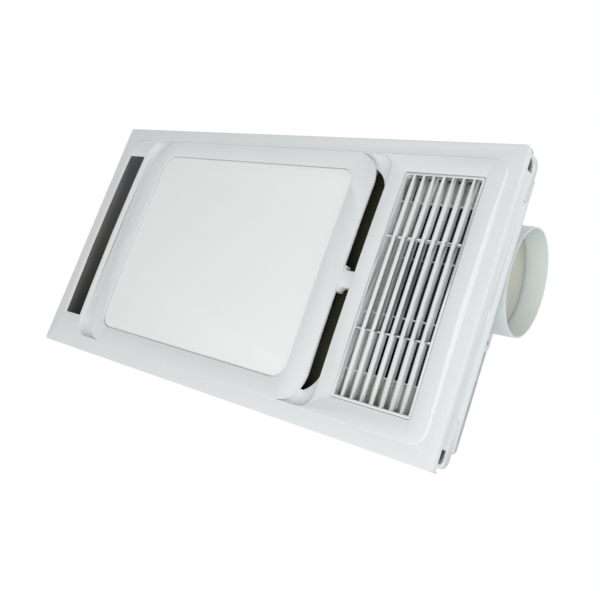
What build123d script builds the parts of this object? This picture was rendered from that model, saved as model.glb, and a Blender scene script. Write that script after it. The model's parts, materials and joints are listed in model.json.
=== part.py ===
from build123d import *

import os
from math import acos, asin, cos, degrees, radians, sin, tan

# Bathroom ceiling heater with warm air, exhaust fan and panel light, in millimetres.
# It hangs as installed: the face looks down, towards -Z, and the body rises above z = 0.
# z = 0 is the rear rim of the panel's skirt, which bears on the ceiling grid.
# +X points to the intake grille and the duct, and -X to the black display strip.

os.makedirs("parts", exist_ok=True)

# Clearances between pieces
seam = 0.5
slip = 0.3
running = 0.05

# Face panel
panel_length = 600.0
panel_width = 300.0
panel_corner = 3.0
skirt_depth = 18.0
skirt_wall = 2.0
flange_wall = 2.5
skirt_notch_y = 8.0
skirt_notch_width = 12.0
skirt_notch_depth = 3.0

# Raised middle of the face, crowned across the panel's width
plateau_length = 574.0
plateau_width = 269.0
plateau_corner = 17.0
plateau_step = 0.8
plateau_slope = 45.0
crown_rise = 2.8
face_wall = 3.0
plateau_back_margin = 6.0

# Surround of the light, and the troughs with air slots at its two ends
light_x = -41.0
surround_length = 363.0
surround_corner = 34.0
trough_width = 16.5
trough_corner = 18.0
trough_margin = 1.5
trough_floor = -12.0
trough_round = 8.0
trough_wall = 2.2
lip_overhang = 10.5
slot_reach = 11.5
slot_corner = 30.0
slot_span = 240.0
bridge_y = 2.5
bridge_width = 17.0
bridge_drop = 3.2
bridge_flare = 5.0
bridge_round = 4.0
side_relief_length = 200.0
side_relief_width = 9.0
side_relief_corner = 2.0

# Window of the light
window_length = 313.0
window_width = 228.0
window_corner = 18.0
window_shift = -3.0
cavity_width = 244.0
cavity_corner = 24.0
diffuser_rim = 5.0
diffuser_wall = 2.2
diffuser_set_back = 1.7
diffuser_round = 1.2
spacer_wall = 9.0

# Tray and LEDs
tray_sheet = 0.8
tray_top = -2.0
led_strip_count = 6
led_strip_pitch = 34.0
led_strip_length = 270.0
led_strip_width = 14.0
led_board_wall = 1.2
led_per_strip = 9
led_size = 5.0
led_height = 0.9

# Display strip
strip_x = -261.5
strip_length = 220.0
strip_width = 30.0
strip_corner = 1.5
lens_wall = 1.6
lens_ledge = 2.0
board_wall = 1.6
display_board_length = 190.0
display_board_width = 35.0
display_board_z = -15.0
display_post_x = 15.0
display_post_y = 88.0
display_post_radius = 2.2

# Intake grille
grille_x = 221.7
grille_length = 230.0
grille_width = 92.0
grille_corner = 2.5
grille_back = -12.5
grille_frame = 2.7
louvre_count = 7
louvre_width = 5.0
louvre_depth = 6.5
louvre_round = 2.2
crossbar_y = 46.5
crossbar_width = 2.0
crossbar_drop = 0.8
crossbar_depth = 5.0
rear_rib_pitch = 57.0
rear_rib_width = 1.2
rear_rib_depth = 2.5
rear_rib_bite = 0.5
rim_wall = 2.0
rim_top = -9.0
tongue_width = 10.0
tongue_wall = 1.5
tongue_pitch = 120.0
tongue_top = -9.6

# Corners: hanging lugs on the short sides, ears on the long sides and a low rim between them
corner_rim_top = -10.0
corner_opening = 8.0
lug_start = 104.0
lug_end = 145.0
lug_top = 7.2
lug_round = 10.0
lug_hole_start = 129.0
lug_hole_end = 142.0
lug_hole_top = -0.7
lug_hole_round = 7.0
ear_inset = 2.0
ear_length = 30.0
ear_round = 16.0
clip_wall = 1.0
clip_set_back = 2.5
clip_foot = 6.5
clip_top = 6.5

# Support frame between panel and housing
frame_length = 595.0
frame_width = 276.0
frame_corner = 2.0
frame_notch_length = 9.5
frame_notch_width = 9.0
frame_wall = 2.0
frame_top = 14.0
frame_ledge = 4.0
gasket_wall = 1.0
gasket_width = 2.4
boss_x = 285.0
boss_pitch = 88.0
boss_radius = 4.5
pilot_radius = 1.5
pilot_depth = 14.0

# Housing
housing_left = -236.0
housing_right = 236.0
housing_width = 254.0
housing_top = 128.0
housing_corner = 6.0
housing_edge = 3.0
sheet = 0.8
housing_flange = 8.0
bead_height = 1.2
bead_slope = 30.0
bead_width = 9.0
bead_length = 150.0
bead_pitch = 40.0
bead_count = 5
bead_center_x = 0.0
side_bead_length = 80.0
side_bead_pitch = 110.0
side_bead_count = 4
side_bead_z = 70.0
flange_screw_y = 104.0

# Duct spigot, its end cut aslant, with the check flap that its own weight closes
duct_y = -47.0
duct_z = 70.0
duct_length = 53.1
duct_tilt = 9.2
duct_base_radius = 54.5
duct_end_radius = 54.1
duct_wall = 1.5
duct_port_radius = 49.0
duct_flange_width = 132.0
duct_flange_height = 109.6
duct_flange_corner = 8.0
duct_flange_wall = 2.0
spigot_screw_y = 57.0
spigot_screw_z = 46.0
flap_depth = 25.8
flap_wall = 1.2
flap_rim_clearance = 1.8
flap_pin_rise = 6.0
flap_pin_back = 1.6
flap_hub_radius = 2.4
flap_pin_radius = 1.2
seat_wall = 1.5
seat_step = 4.0
seat_bite = 1.2

# Intake baffle, the liner behind it and the roof over the right-hand slots
baffle_wall = 1.5
baffle_left = 161.0
baffle_right = 279.0
baffle_width = 221.0
baffle_hole_left = 198.0
baffle_hole_right = 266.0
baffle_hole_width = 172.0
baffle_hole_corner = 3.0
wire_slot_x = 184.8
wire_slot_y = -98.0
wire_slot_width = 6.4
wire_slot_length = 24.0
wire_slot_corner = 1.0
roof_left = 120.0
roof_z = 7.0
roof_width = 243.0
liner_wall = 1.2
liner_width = 216.0
liner_hole_margin = 1.0

# Blower
blower_x = 178.0
blower_y = 66.0
deck_wall = 1.0
inlet_radius = 33.0
inlet_lip = 2.0
impeller_radius = 44.0
blade_inner_radius = 36.0
blade_count = 32
blade_wall = 1.2
blade_angle = 35.0
impeller_bottom = 19.0
impeller_height = 60.0
ring_wall = 1.6
hub_radius = 7.0
hub_height = 20.0
scroll_wall = 1.5
scroll_start_radius = 48.0
scroll_growth = 14.0
scroll_top = 85.0
tab_radius = 5.5
tab_angles = (-45, 45, 135)
throat_right = 158.0

# Motor
shaft_radius = 3.0
motor_bottom = 90.0
motor_height = 29.0
motor_radius = 30.0
motor_wall = 1.5
stator_outer = 28.0
stator_inner = 17.0
stator_height = 16.0
winding_count = 6
winding_depth = 6.0
winding_width = 7.0
winding_overhang = 2.0
rotor_gap = 0.5
bearing_radius = 8.0
bearing_width = 5.0
grommet_ring = 37.0
grommet_radius = 5.0
grommet_hole = 2.0
ear_wall = 2.0

# Air box with the diverter door
box_left = 100.0
box_right = 234.5
box_bottom_y = -100.0
box_top_y = 6.0
box_top_gap = 3.0
box_wall = 1.5
door_x = 166.0
door_y = -94.0
door_length = 96.0
door_wall = 2.5
door_hub_radius = 4.0
door_shaft_radius = 2.5
door_rest_angle = 30.0
door_bottom = 20.0
door_top_gap = 5.0
seat_rib_wall = 1.5
left_rib_x = 116.0
left_rib_end = -8.0
right_rib_x = 168.0
right_rib_end = -4.0
heater_port_width = 86.0
heater_port_height = 80.0
door_shaft_rise = 8.0
door_motor_radius = 25.0
door_motor_height = 15.0
door_motor_screw = 35.0
door_ear_wall = 2.0
door_ear_radius = 6.0

# Heater
heater_depth = 34.0
heater_width = 92.0
heater_height = 88.0
heater_y = -46.0
heater_z = 68.0
heater_frame_wall = 8.0
bar_count = 4
bar_wall = 3.0
core_depth = 14.0
fin_wall = 0.5
fin_pitch = 4.0
cutout_radius = 8.0
cutout_height = 4.0

# Electronics
shelf_right = -130.0
shelf_wall = 1.0
bulkhead_gap = 2.0
board_length = 120.0
board_width = 80.0
board_z = 24.0
board_x = -184.0
board_y = -45.0
board_hole_inset = 5.0
post_radius = 3.0
relay_length = 19.0
relay_width = 15.5
relay_height = 15.0
relay_x = -212.0
relay_pitch = 24.0
relay_count = 4
transformer_x = -165.0
transformer_y = -75.0
transformer_length = 32.0
transformer_width = 27.0
transformer_height = 26.0
capacitor_x = -165.0
capacitor_y = -30.0
capacitor_radius = 6.0
capacitor_height = 18.0
capacitor_pitch = 16.0
plug_x = -172.0
plug_y = 5.0
plug_length = 22.0
plug_width = 9.0
plug_height = 10.0
driver_y = 75.0
driver_length = 80.0
driver_width = 44.0
driver_height = 24.0
run_capacitor_x = -145.0
run_capacitor_y = 75.0
run_capacitor_length = 38.0
run_capacitor_width = 20.0
run_capacitor_height = 30.0

# Supply box on the housing
supply_x = -170.0
supply_length = 92.0
supply_width = 86.0
supply_height = 24.0
supply_wall = 2.0
supply_hole_radius = 10.0
supply_corner = 4.0
supply_screw_x = 32.0
supply_screw_y = 22.0
cover_wall = 2.0
cover_screw_inset = 6.5
cover_post_radius = 4.0
terminal_count = 6
terminal_pitch = 9.0
terminal_width = 18.0
terminal_height = 14.0
terminal_y = 10.0
gland_radius = 9.0
gland_bore = 4.5
gland_length = 14.0

# Screws
screw_radius = 1.5
screw_head_radius = 3.2
screw_head_height = 2.0
screw_head_round = 1.2
screw_cross_wall = 0.7
screw_cross_depth = 0.8
screw_clearance = 0.2

# Rounded corners of the bought-in parts
board_corner = 2.0
block_corner = 3.0
block_round = 2.0

# Sizes that follow from the ones above
ear_end = panel_length / 2 - ear_inset
clip_x = panel_length / 2 - skirt_wall - clip_set_back
clip_start = frame_width / 2 - frame_notch_width + seam
flap_x = housing_right + duct_length - flap_depth
face_z = -skirt_depth
flange_back = face_z + flange_wall
crown_radius = ((plateau_width / 2) ** 2 + crown_rise**2) / (2 * crown_rise)
crown_front = face_z - plateau_step - crown_rise
crown_centre = crown_front + crown_radius
recess_length = surround_length + 2 * trough_width
recess_width = plateau_width - 2 * trough_margin
surround_width = recess_width + 2 * plateau_step / 2
window_x = light_x + window_shift
panel_back = trough_floor + trough_wall
cavity_length = surround_length - 2 * (lip_overhang + trough_wall)
frame_bottom = flange_back + gasket_wall
plate_z = frame_top - frame_wall
housing_length = housing_right - housing_left
housing_x = (housing_left + housing_right) / 2
inner_length = housing_length - 2 * sheet
inner_width = housing_width - 2 * sheet
deck_z = frame_top
deck_top = deck_z + deck_wall
duct_end_x = housing_right + duct_length
bore_at_base = duct_base_radius - duct_wall
bore_at_end = duct_end_radius - duct_wall
bore_at_flap = bore_at_base - (bore_at_base - bore_at_end) * (flap_x - housing_right) / duct_length
tilt_reach = duct_end_radius * tan(radians(duct_tilt)) + duct_wall
flap_radius = bore_at_flap - flap_rim_clearance
flap_hub_half = (flap_radius**2 - flap_pin_rise**2) ** 0.5
flap_pin_half = (bore_at_flap**2 - flap_pin_rise**2) ** 0.5 + duct_wall / 2
liner_left = baffle_left + baffle_wall + seam
liner_right = baffle_hole_right + liner_wall
liner_top = plate_z - slip
box_bottom = deck_top
box_top_z = housing_top - box_top_gap
door_top = box_top_z - door_top_gap
door_shaft_top = housing_top + door_shaft_rise
bulkhead_top = housing_top - bulkhead_gap
scroll_start_angle = -degrees(acos((throat_right - blower_x) / scroll_start_radius))


def behind_crown(depth, top=60.0):
    """Everything behind the crowned face, from `depth` under it up to z = top."""
    height = top - crown_front + 20
    with BuildPart() as block:
        with BuildSketch(Plane.YZ.offset(-panel_length)):
            with Locations((0, crown_centre)):
                Circle(crown_radius - depth)
            with Locations((0, top - height / 2)):
                Rectangle(1.5 * panel_width, height, mode=Mode.INTERSECT)
        extrude(amount=2 * panel_length)
    return block.part


def prism(length, width, corner, bottom, top, x=0.0, y=0.0):
    """Upright block with rounded corners, from z = bottom to z = top."""
    with BuildPart() as block:
        with BuildSketch(Plane.XY.offset(bottom)):
            with Locations((x, y)):
                RectangleRounded(length, width, corner)
        extrude(amount=top - bottom)
    return block.part


def crowned_prism(length, width, corner, depth, top, x=0.0, y=0.0):
    """Upright rounded block whose lower face follows the crown at `depth` under it."""
    with BuildPart() as block:
        add(prism(length, width, corner, crown_front - 5, top, x, y))
        add(behind_crown(depth, top + 1), mode=Mode.INTERSECT)
    return block.part


def crowned_sheet(length, width, corner, depth, wall, x=0.0, y=0.0):
    """Rounded sheet of even wall that follows the crown, its front `depth` under it."""
    with BuildPart() as block:
        add(crowned_prism(length, width, corner, depth, 0, x, y))
        add(behind_crown(depth + wall), mode=Mode.SUBTRACT)
    return block.part


def collar_outline(inset):
    """Outline of the support frame, notched for the lugs, `inset` inside its outer face."""
    with BuildSketch(Plane.XY) as outline:
        Rectangle(frame_length - 2 * inset, frame_width - 2 * inset)
        with GridLocations(frame_length, frame_width, 2, 2):
            Rectangle(2 * (frame_notch_length + inset), 2 * (frame_notch_width + inset),
                      mode=Mode.SUBTRACT)
        fillet(outline.vertices(), frame_corner)
    return outline.sketch


def screw_down(head_z, length, radius=screw_radius):
    """Pan-head screw standing at the origin, its head resting on z = head_z."""
    with BuildPart() as screw:
        with BuildSketch(Plane.XY.offset(head_z)):
            Circle(screw_head_radius)
        extrude(amount=screw_head_height)
        fillet(screw.faces().sort_by(Axis.Z)[-1].edges(), screw_head_round)
        with BuildSketch(Plane.XY.offset(head_z)):
            Circle(radius)
        extrude(amount=-length)
        with BuildSketch(Plane.XY.offset(head_z + screw_head_height)):
            Rectangle(screw_head_radius, screw_cross_wall)
            Rectangle(screw_cross_wall, screw_head_radius)
        extrude(amount=-screw_cross_depth, mode=Mode.SUBTRACT)
    return screw.part


# Face panel: one white moulding that carries every visible part of the face
with BuildPart() as plateau:
    with BuildSketch(Plane.XY.offset(flange_back)):
        RectangleRounded(plateau_length + 2 * flange_wall, plateau_width + 2 * flange_wall,
                         plateau_corner + flange_wall)
    extrude(amount=-2 * (plateau_step + crown_rise), taper=plateau_slope)
    add(behind_crown(0), mode=Mode.INTERSECT)

with BuildPart() as trough_cut:
    add(prism(recess_length, recess_width, trough_corner, crown_front - 5, trough_floor, light_x))
    fillet(trough_cut.faces().sort_by(Axis.Z)[-1].edges(), trough_round)
    add(prism(surround_length, surround_width, surround_corner, crown_front - 6, 0, light_x),
        mode=Mode.SUBTRACT)

slot_length = surround_length + 2 * slot_reach
under_lip = surround_length - 2 * lip_overhang
with BuildPart() as slot_cut:
    add(prism(slot_length, slot_span, slot_corner, crown_front, 0, light_x))
    add(prism(under_lip, recess_width, surround_corner - lip_overhang, crown_front - 1, 1, light_x),
        mode=Mode.SUBTRACT)
    add(behind_crown(face_wall), mode=Mode.INTERSECT)
    with Locations((light_x + slot_length / 2, bridge_y, 0)):
        Box(slot_length, bridge_width, 4 * skirt_depth, mode=Mode.SUBTRACT)

with BuildPart() as strip_seat:
    add(prism(strip_width, strip_length, strip_corner, crown_front - 1, 0, strip_x))
    add(behind_crown(lens_wall), mode=Mode.SUBTRACT)

with BuildPart() as bridge:
    with BuildSketch(Plane.XY.offset(panel_back)):
        with Locations((light_x + (surround_length + trough_width) / 2, bridge_y)):
            Rectangle(trough_width + 2, bridge_width)
        with Locations((light_x + (surround_length - lip_overhang) / 2, bridge_y)):
            Rectangle(lip_overhang + 2, bridge_width + 2 * bridge_flare)
    extrude(amount=-2 * skirt_depth)
    fillet(bridge.edges().filter_by(Axis.Z).filter_by(
        lambda edge: abs(abs(edge.center().Y - bridge_y) - bridge_width / 2) < 0.1
        and abs(edge.center().X - light_x - surround_length / 2) < lip_overhang),
        bridge_round)
    add(behind_crown(bridge_drop), mode=Mode.INTERSECT)

with BuildPart() as lugs:
    for side in (-1, 1):
        with BuildSketch(Plane.YZ.offset(side * panel_length / 2)) as lug_outline:
            for end in (-1, 1):
                with Locations((end * (lug_start + lug_end) / 2, (flange_back + lug_top) / 2)):
                    Rectangle(lug_end - lug_start, lug_top - flange_back)
            fillet(lug_outline.vertices().filter_by(
                lambda v: abs(v.X) > lug_end - 1 and v.Y > lug_top - 1), lug_round)
            for end in (-1, 1):
                with Locations((end * (lug_hole_start + lug_hole_end) / 2,
                                (corner_rim_top + lug_hole_top) / 2)):
                    Rectangle(lug_hole_end - lug_hole_start, lug_hole_top - corner_rim_top,
                              mode=Mode.SUBTRACT)
            fillet(lug_outline.vertices().filter_by(
                lambda v: abs(abs(v.X) - lug_hole_end) < 0.1 and abs(v.Y - lug_hole_top) < 0.1),
                lug_hole_round)
        extrude(amount=-side * skirt_wall)
        with BuildSketch(Plane.XZ.offset(side * panel_width / 2)) as ear_outline:
            for end in (-1, 1):
                with Locations((end * (ear_end - ear_length / 2), (flange_back + lug_top) / 2)):
                    Rectangle(ear_length, lug_top - flange_back)
            fillet(ear_outline.vertices().filter_by(
                lambda v: abs(v.X) > ear_end - 1 and v.Y > lug_top - 1), ear_round)
        extrude(amount=-side * skirt_wall)

with BuildPart() as face_panel:
    with BuildSketch(Plane.XY.offset(face_z)):
        RectangleRounded(panel_length, panel_width, panel_corner)
    extrude(amount=skirt_depth)
    with BuildSketch(Plane.XY.offset(flange_back)):
        RectangleRounded(panel_length - 2 * skirt_wall, panel_width - 2 * skirt_wall,
                         panel_corner - skirt_wall)
    extrude(amount=skirt_depth, mode=Mode.SUBTRACT)
    # The skirt is low at the corners, where the hanging lugs and the ears stand
    with BuildSketch(Plane.XY.offset(corner_rim_top)):
        with GridLocations(panel_length, panel_width, 2, 2):
            Rectangle(2 * corner_opening, 2 * (panel_width / 2 - lug_start))
    extrude(amount=skirt_depth, mode=Mode.SUBTRACT)
    with BuildSketch(Plane.XY):
        with Locations((0, skirt_notch_y)):
            Rectangle(panel_length + 2, skirt_notch_width)
    extrude(amount=-skirt_notch_depth, mode=Mode.SUBTRACT)
    add(lugs.part)
    add(plateau.part)
    add(crowned_prism(plateau_length - 2 * plateau_back_margin,
                      plateau_width - 2 * plateau_back_margin,
                      plateau_corner - plateau_back_margin, face_wall, flange_back),
        mode=Mode.SUBTRACT)
    # Walls round the light's recess, then the troughs and the cavity behind the window
    add(prism(recess_length + 2 * trough_wall, recess_width + 2 * trough_wall,
              trough_corner + trough_wall, face_z + 0.5, panel_back, light_x))
    add(trough_cut.part, mode=Mode.SUBTRACT)
    add(crowned_prism(cavity_length, cavity_width, cavity_corner, face_wall, 0, light_x),
        mode=Mode.SUBTRACT)
    for side in (-1, 1):
        relief_y = side * (cavity_width / 2 + trough_wall + side_relief_width / 2)
        add(crowned_prism(side_relief_length, side_relief_width, side_relief_corner, face_wall, 0,
                          light_x, relief_y), mode=Mode.SUBTRACT)
    add(slot_cut.part, mode=Mode.SUBTRACT)
    add(prism(window_length, window_width, window_corner, crown_front - 1, 0, window_x),
        mode=Mode.SUBTRACT)
    add(bridge.part)
    # Grille opening with the rim that guides the grille
    add(prism(grille_width + 2 * rim_wall, grille_length + 2 * rim_wall, grille_corner + rim_wall,
              face_z + 1, rim_top, grille_x))
    add(prism(grille_width, grille_length, grille_corner, crown_front - 1, 0, grille_x),
        mode=Mode.SUBTRACT)
    # Seat of the display strip, the opening behind it and the posts of its board
    add(strip_seat.part, mode=Mode.SUBTRACT)
    add(prism(strip_width - 2 * lens_ledge, strip_length - 2 * lens_ledge, strip_corner,
              crown_front - 1, 0, strip_x), mode=Mode.SUBTRACT)
    with BuildSketch(Plane.XY.offset(display_board_z)):
        with Locations((strip_x, 0)):
            with GridLocations(2 * display_post_x, 2 * display_post_y, 2, 2):
                Circle(display_post_radius)
    extrude(amount=face_z - display_board_z)
    # Bosses that take the screws of the support frame
    with BuildSketch(Plane.XY.offset(flange_back)):
        with GridLocations(2 * boss_x, boss_pitch, 2, 3):
            Circle(boss_radius)
    extrude(amount=plate_z - flange_back)
    with BuildSketch(Plane.XY.offset(plate_z)):
        with GridLocations(2 * boss_x, boss_pitch, 2, 3):
            Circle(pilot_radius)
    extrude(amount=-pilot_depth, mode=Mode.SUBTRACT)
face_panel.part.label = "face_panel"
export_step(face_panel.part, "parts/face_panel.step")

# Spring clips that stand behind the holes of the lugs, each on a foot on the flange
with BuildPart() as lug_clips:
    for side in (-1, 1):
        with BuildSketch(Plane.YZ.offset(side * clip_x)) as clip_outline:
            for end in (-1, 1):
                with Locations((end * (clip_start + lug_end) / 2, (flange_back + clip_top) / 2)):
                    Rectangle(lug_end - clip_start, clip_top - flange_back)
            fillet(clip_outline.vertices().filter_by(
                lambda v: abs(v.X) > lug_end - 1 and v.Y > clip_top - 1), lug_hole_round)
        extrude(amount=-side * clip_wall)
        with BuildSketch(Plane.XY.offset(flange_back)):
            for end in (-1, 1):
                with Locations((side * (clip_x - clip_foot / 2), end * (clip_start + lug_end) / 2)):
                    Rectangle(clip_foot, lug_end - clip_start)
        extrude(amount=clip_wall)
lug_clips.part.label = "lug_clips"
export_step(lug_clips.part, "parts/lug_clips.step")

# Light: opal diffuser, spacer, tray, LED boards and LEDs
with BuildPart() as light_diffuser:
    add(crowned_sheet(window_length - 2 * slip, window_width - 2 * slip, window_corner - slip,
                      diffuser_set_back, diffuser_wall + face_wall - diffuser_set_back, window_x))
    fillet(light_diffuser.faces().sort_by(Axis.Z)[0].edges(), diffuser_round)
    add(crowned_sheet(window_length + 2 * diffuser_rim, window_width + 2 * diffuser_rim,
                      window_corner + diffuser_rim, face_wall, diffuser_wall, window_x))
light_diffuser.part.label = "light_diffuser"
export_step(light_diffuser.part, "parts/light_diffuser.step")

with BuildPart() as light_spacer:
    add(crowned_prism(window_length + 2 * diffuser_rim, window_width + 2 * diffuser_rim,
                      window_corner + diffuser_rim, face_wall + diffuser_wall, panel_back,
                      window_x))
    add(prism(window_length + 2 * diffuser_rim - 2 * spacer_wall,
              window_width + 2 * diffuser_rim - 2 * spacer_wall,
              window_corner + diffuser_rim - spacer_wall, crown_front, 0, window_x),
        mode=Mode.SUBTRACT)
light_spacer.part.label = "light_spacer"
export_step(light_spacer.part, "parts/light_spacer.step")

pan_length = window_length + 2 * diffuser_rim - 2 * spacer_wall + 2 * tray_sheet
pan_width = window_width + 2 * diffuser_rim - 2 * spacer_wall + 2 * tray_sheet
pan_corner = window_corner + diffuser_rim - spacer_wall
with BuildPart() as light_tray:
    add(prism(cavity_length + trough_wall, cavity_width + trough_wall, cavity_corner, panel_back,
              panel_back + tray_sheet, light_x))
    add(prism(pan_length, pan_width, pan_corner, panel_back, tray_top, window_x))
    add(prism(pan_length - 2 * tray_sheet, pan_width - 2 * tray_sheet, pan_corner - tray_sheet,
              panel_back, tray_top - tray_sheet, window_x), mode=Mode.SUBTRACT)
light_tray.part.label = "light_tray"
export_step(light_tray.part, "parts/light_tray.step")

led_board_top = tray_top - tray_sheet
with BuildPart() as led_boards:
    with BuildSketch(Plane.XY.offset(led_board_top)):
        with Locations((window_x, 0)):
            with GridLocations(0, led_strip_pitch, 1, led_strip_count):
                Rectangle(led_strip_length, led_strip_width)
    extrude(amount=-led_board_wall)
led_boards.part.label = "led_boards"
export_step(led_boards.part, "parts/led_boards.step")

with BuildPart() as leds:
    with BuildSketch(Plane.XY.offset(led_board_top - led_board_wall)):
        with Locations((window_x, 0)):
            with GridLocations(led_strip_length / led_per_strip, led_strip_pitch,
                               led_per_strip, led_strip_count):
                Rectangle(led_size, led_size)
    extrude(amount=-led_height)
leds.part.label = "leds"
export_step(leds.part, "parts/leds.step")

# Display strip and its board
with BuildPart() as display_lens:
    add(crowned_sheet(strip_width - slip, strip_length - slip, strip_corner, 0, lens_wall, strip_x))
display_lens.part.label = "display_lens"
export_step(display_lens.part, "parts/display_lens.step")

with BuildPart() as display_board:
    with BuildSketch(Plane.XY.offset(display_board_z)):
        with Locations((strip_x, 0)):
            RectangleRounded(display_board_width, display_board_length, board_corner)
    extrude(amount=board_wall)
display_board.part.label = "display_board"
export_step(display_board.part, "parts/display_board.step")

# Intake grille: frame, louvres, crossbars, rear ribs and the tongues that hold it
frame_out_x = grille_width - 2 * seam
frame_out_y = grille_length - 2 * seam
frame_in_x = frame_out_x - 2 * grille_frame
frame_in_y = frame_out_y - 2 * grille_frame
louvre_pitch = (frame_in_x + louvre_width) / (louvre_count + 1)
louvre_arc = asin((frame_in_y / 2 + 1) / crown_radius)
louvre_start = Plane(
    origin=(0, -crown_radius * sin(louvre_arc), crown_centre - crown_radius * cos(louvre_arc)),
    x_dir=(1, 0, 0), z_dir=(0, -cos(louvre_arc), sin(louvre_arc)))
crown_axis = Axis((0, 0, crown_centre), (1, 0, 0))
with BuildPart() as intake_grille:
    add(crowned_prism(frame_out_x, frame_out_y, grille_corner - seam, 0, grille_back, grille_x))
    add(prism(frame_in_x, frame_in_y, grille_corner - seam, crown_front - 1, 0, grille_x),
        mode=Mode.SUBTRACT)
    with BuildSketch(louvre_start) as louvre_ends:
        with Locations((grille_x, louvre_depth / 2)):
            with GridLocations(louvre_pitch, 0, louvre_count, 1):
                Rectangle(louvre_width, louvre_depth)
        fillet(louvre_ends.vertices().group_by(Axis.Y)[0], louvre_round)
    revolve(axis=crown_axis, revolution_arc=2 * degrees(louvre_arc))
    for depth, wall, pitch, count, width in (
        (crossbar_drop, crossbar_depth, 2 * crossbar_y, 2, crossbar_width),
        (louvre_depth - rear_rib_bite, rear_rib_depth, rear_rib_pitch, 4, rear_rib_width),
    ):
        with BuildPart(mode=Mode.PRIVATE) as bars:
            with BuildSketch(Plane.XY.offset(crown_front - 1)):
                with Locations((grille_x, 0)):
                    with GridLocations(0, pitch, 1, count):
                        Rectangle(frame_in_x + 1, width)
            extrude(amount=skirt_depth)
            add(behind_crown(depth), mode=Mode.INTERSECT)
            add(behind_crown(depth + wall), mode=Mode.SUBTRACT)
        add(bars.part)
    with BuildSketch(Plane.XY.offset(grille_back)):
        with Locations((grille_x, 0)):
            with GridLocations(frame_out_x - tongue_wall, tongue_pitch, 2, 2):
                Rectangle(tongue_wall, tongue_width)
    extrude(amount=tongue_top - grille_back)
intake_grille.part.label = "intake_grille"
export_step(intake_grille.part, "parts/intake_grille.step")

# Support frame: the collar between the face panel and the steel housing, on a foam gasket
with BuildPart() as panel_gasket:
    with BuildSketch(Plane.XY.offset(flange_back)):
        add(collar_outline(0))
        add(collar_outline(gasket_width), mode=Mode.SUBTRACT)
    extrude(amount=gasket_wall)
panel_gasket.part.label = "panel_gasket"
export_step(panel_gasket.part, "parts/panel_gasket.step")

flange_screw_spots = [(side * (housing_length + housing_flange) / 2 + housing_x, y)
                      for side in (-1, 1) for y in (-flange_screw_y, 0.0, flange_screw_y)]
with BuildPart() as support_frame:
    with BuildSketch(Plane.XY.offset(frame_bottom)):
        add(collar_outline(0))
    extrude(amount=frame_top - frame_bottom)
    with BuildSketch(Plane.XY.offset(frame_bottom)):
        add(collar_outline(frame_wall))
    extrude(amount=plate_z - frame_bottom, mode=Mode.SUBTRACT)
    add(prism(inner_length - 2 * frame_ledge, inner_width - 2 * frame_ledge, housing_corner,
              plate_z, frame_top, housing_x), mode=Mode.SUBTRACT)
    # Stiffening ribs under the plate at both ends, and the screw holes
    with BuildSketch(Plane.XY.offset(plate_z)):
        for side in (-1, 1):
            with Locations((side * (boss_x - boss_radius - frame_ledge), 0)):
                with GridLocations(0, boss_pitch / 2, 1, 6):
                    Rectangle(4 * boss_radius, frame_wall)
    extrude(amount=-2 * frame_ledge)
    with BuildSketch(Plane.XY.offset(plate_z)):
        with GridLocations(2 * boss_x, boss_pitch, 2, 3):
            Circle(screw_radius + screw_clearance)
        with Locations(*flange_screw_spots):
            Circle(screw_radius)
    extrude(amount=frame_wall, mode=Mode.SUBTRACT)
support_frame.part.label = "support_frame"
export_step(support_frame.part, "parts/support_frame.step")

with BuildPart() as panel_screws:
    with GridLocations(2 * boss_x, boss_pitch, 2, 3):
        add(screw_down(frame_top, pilot_depth))
panel_screws.part.label = "panel_screws"
export_step(panel_screws.part, "parts/panel_screws.step")

# Housing: folded and embossed sheet steel box, open below
with BuildPart() as housing_inside:
    add(prism(inner_length, inner_width, housing_corner - sheet, frame_top, housing_top - sheet,
              housing_x))
    fillet(housing_inside.faces().sort_by(Axis.Z)[-1].edges(), housing_edge - sheet)

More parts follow.
